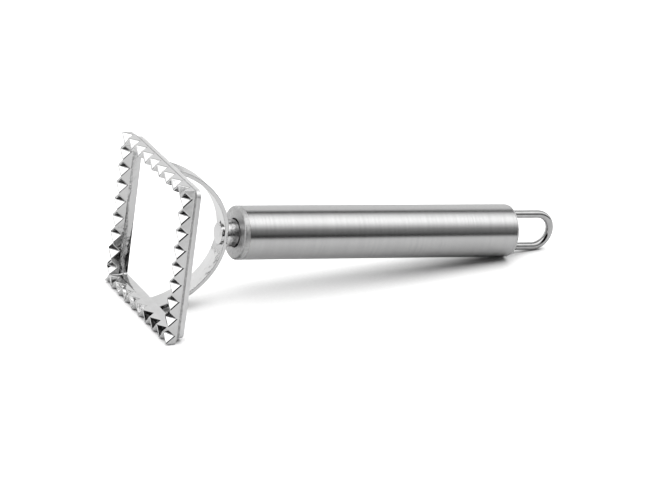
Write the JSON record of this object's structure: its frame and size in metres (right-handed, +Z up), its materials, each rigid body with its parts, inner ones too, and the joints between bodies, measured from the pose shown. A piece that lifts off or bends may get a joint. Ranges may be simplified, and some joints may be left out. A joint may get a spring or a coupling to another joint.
{
  "type": "square pasta stamp cutter",
  "caption": "Square stamp with a zigzag cutting and crimping edge on an arched yoke, with a round tube handle and a wire hanging loop, lying on its side.",
  "frame": {"origin": "on the table, under the middle of the bounding box of the tool as it lies on the ring's lower flange and the rear end of its tube", "axes": "+X along the handle from the cutting edge towards the hanging loop, +Z up, +Y to the right seen from the loop end towards the edge"},
  "size_m": [0.1724, 0.059, 0.0591],
  "materials": {
    "chrome_casting": "bright chrome plate on a zinc die casting",
    "brushed_tube": "stainless steel, fine brushing round the tube",
    "cap_steel": "stainless steel, satin and faintly mottled",
    "polished_wire": "polished stainless wire",
    "fastener_steel": "zinc-plated steel"
  },
  "bodies": {
    "root": {"cutter_ring": "chrome_casting", "yoke": "chrome_casting", "neck_screw": "fastener_steel", "front_cap": "cap_steel", "lock_washer": "fastener_steel", "lock_nut": "fastener_steel", "handle_tube": "brushed_tube", "rear_cap": "cap_steel", "hanging_loop": "polished_wire"}
  },
  "joints": []
}
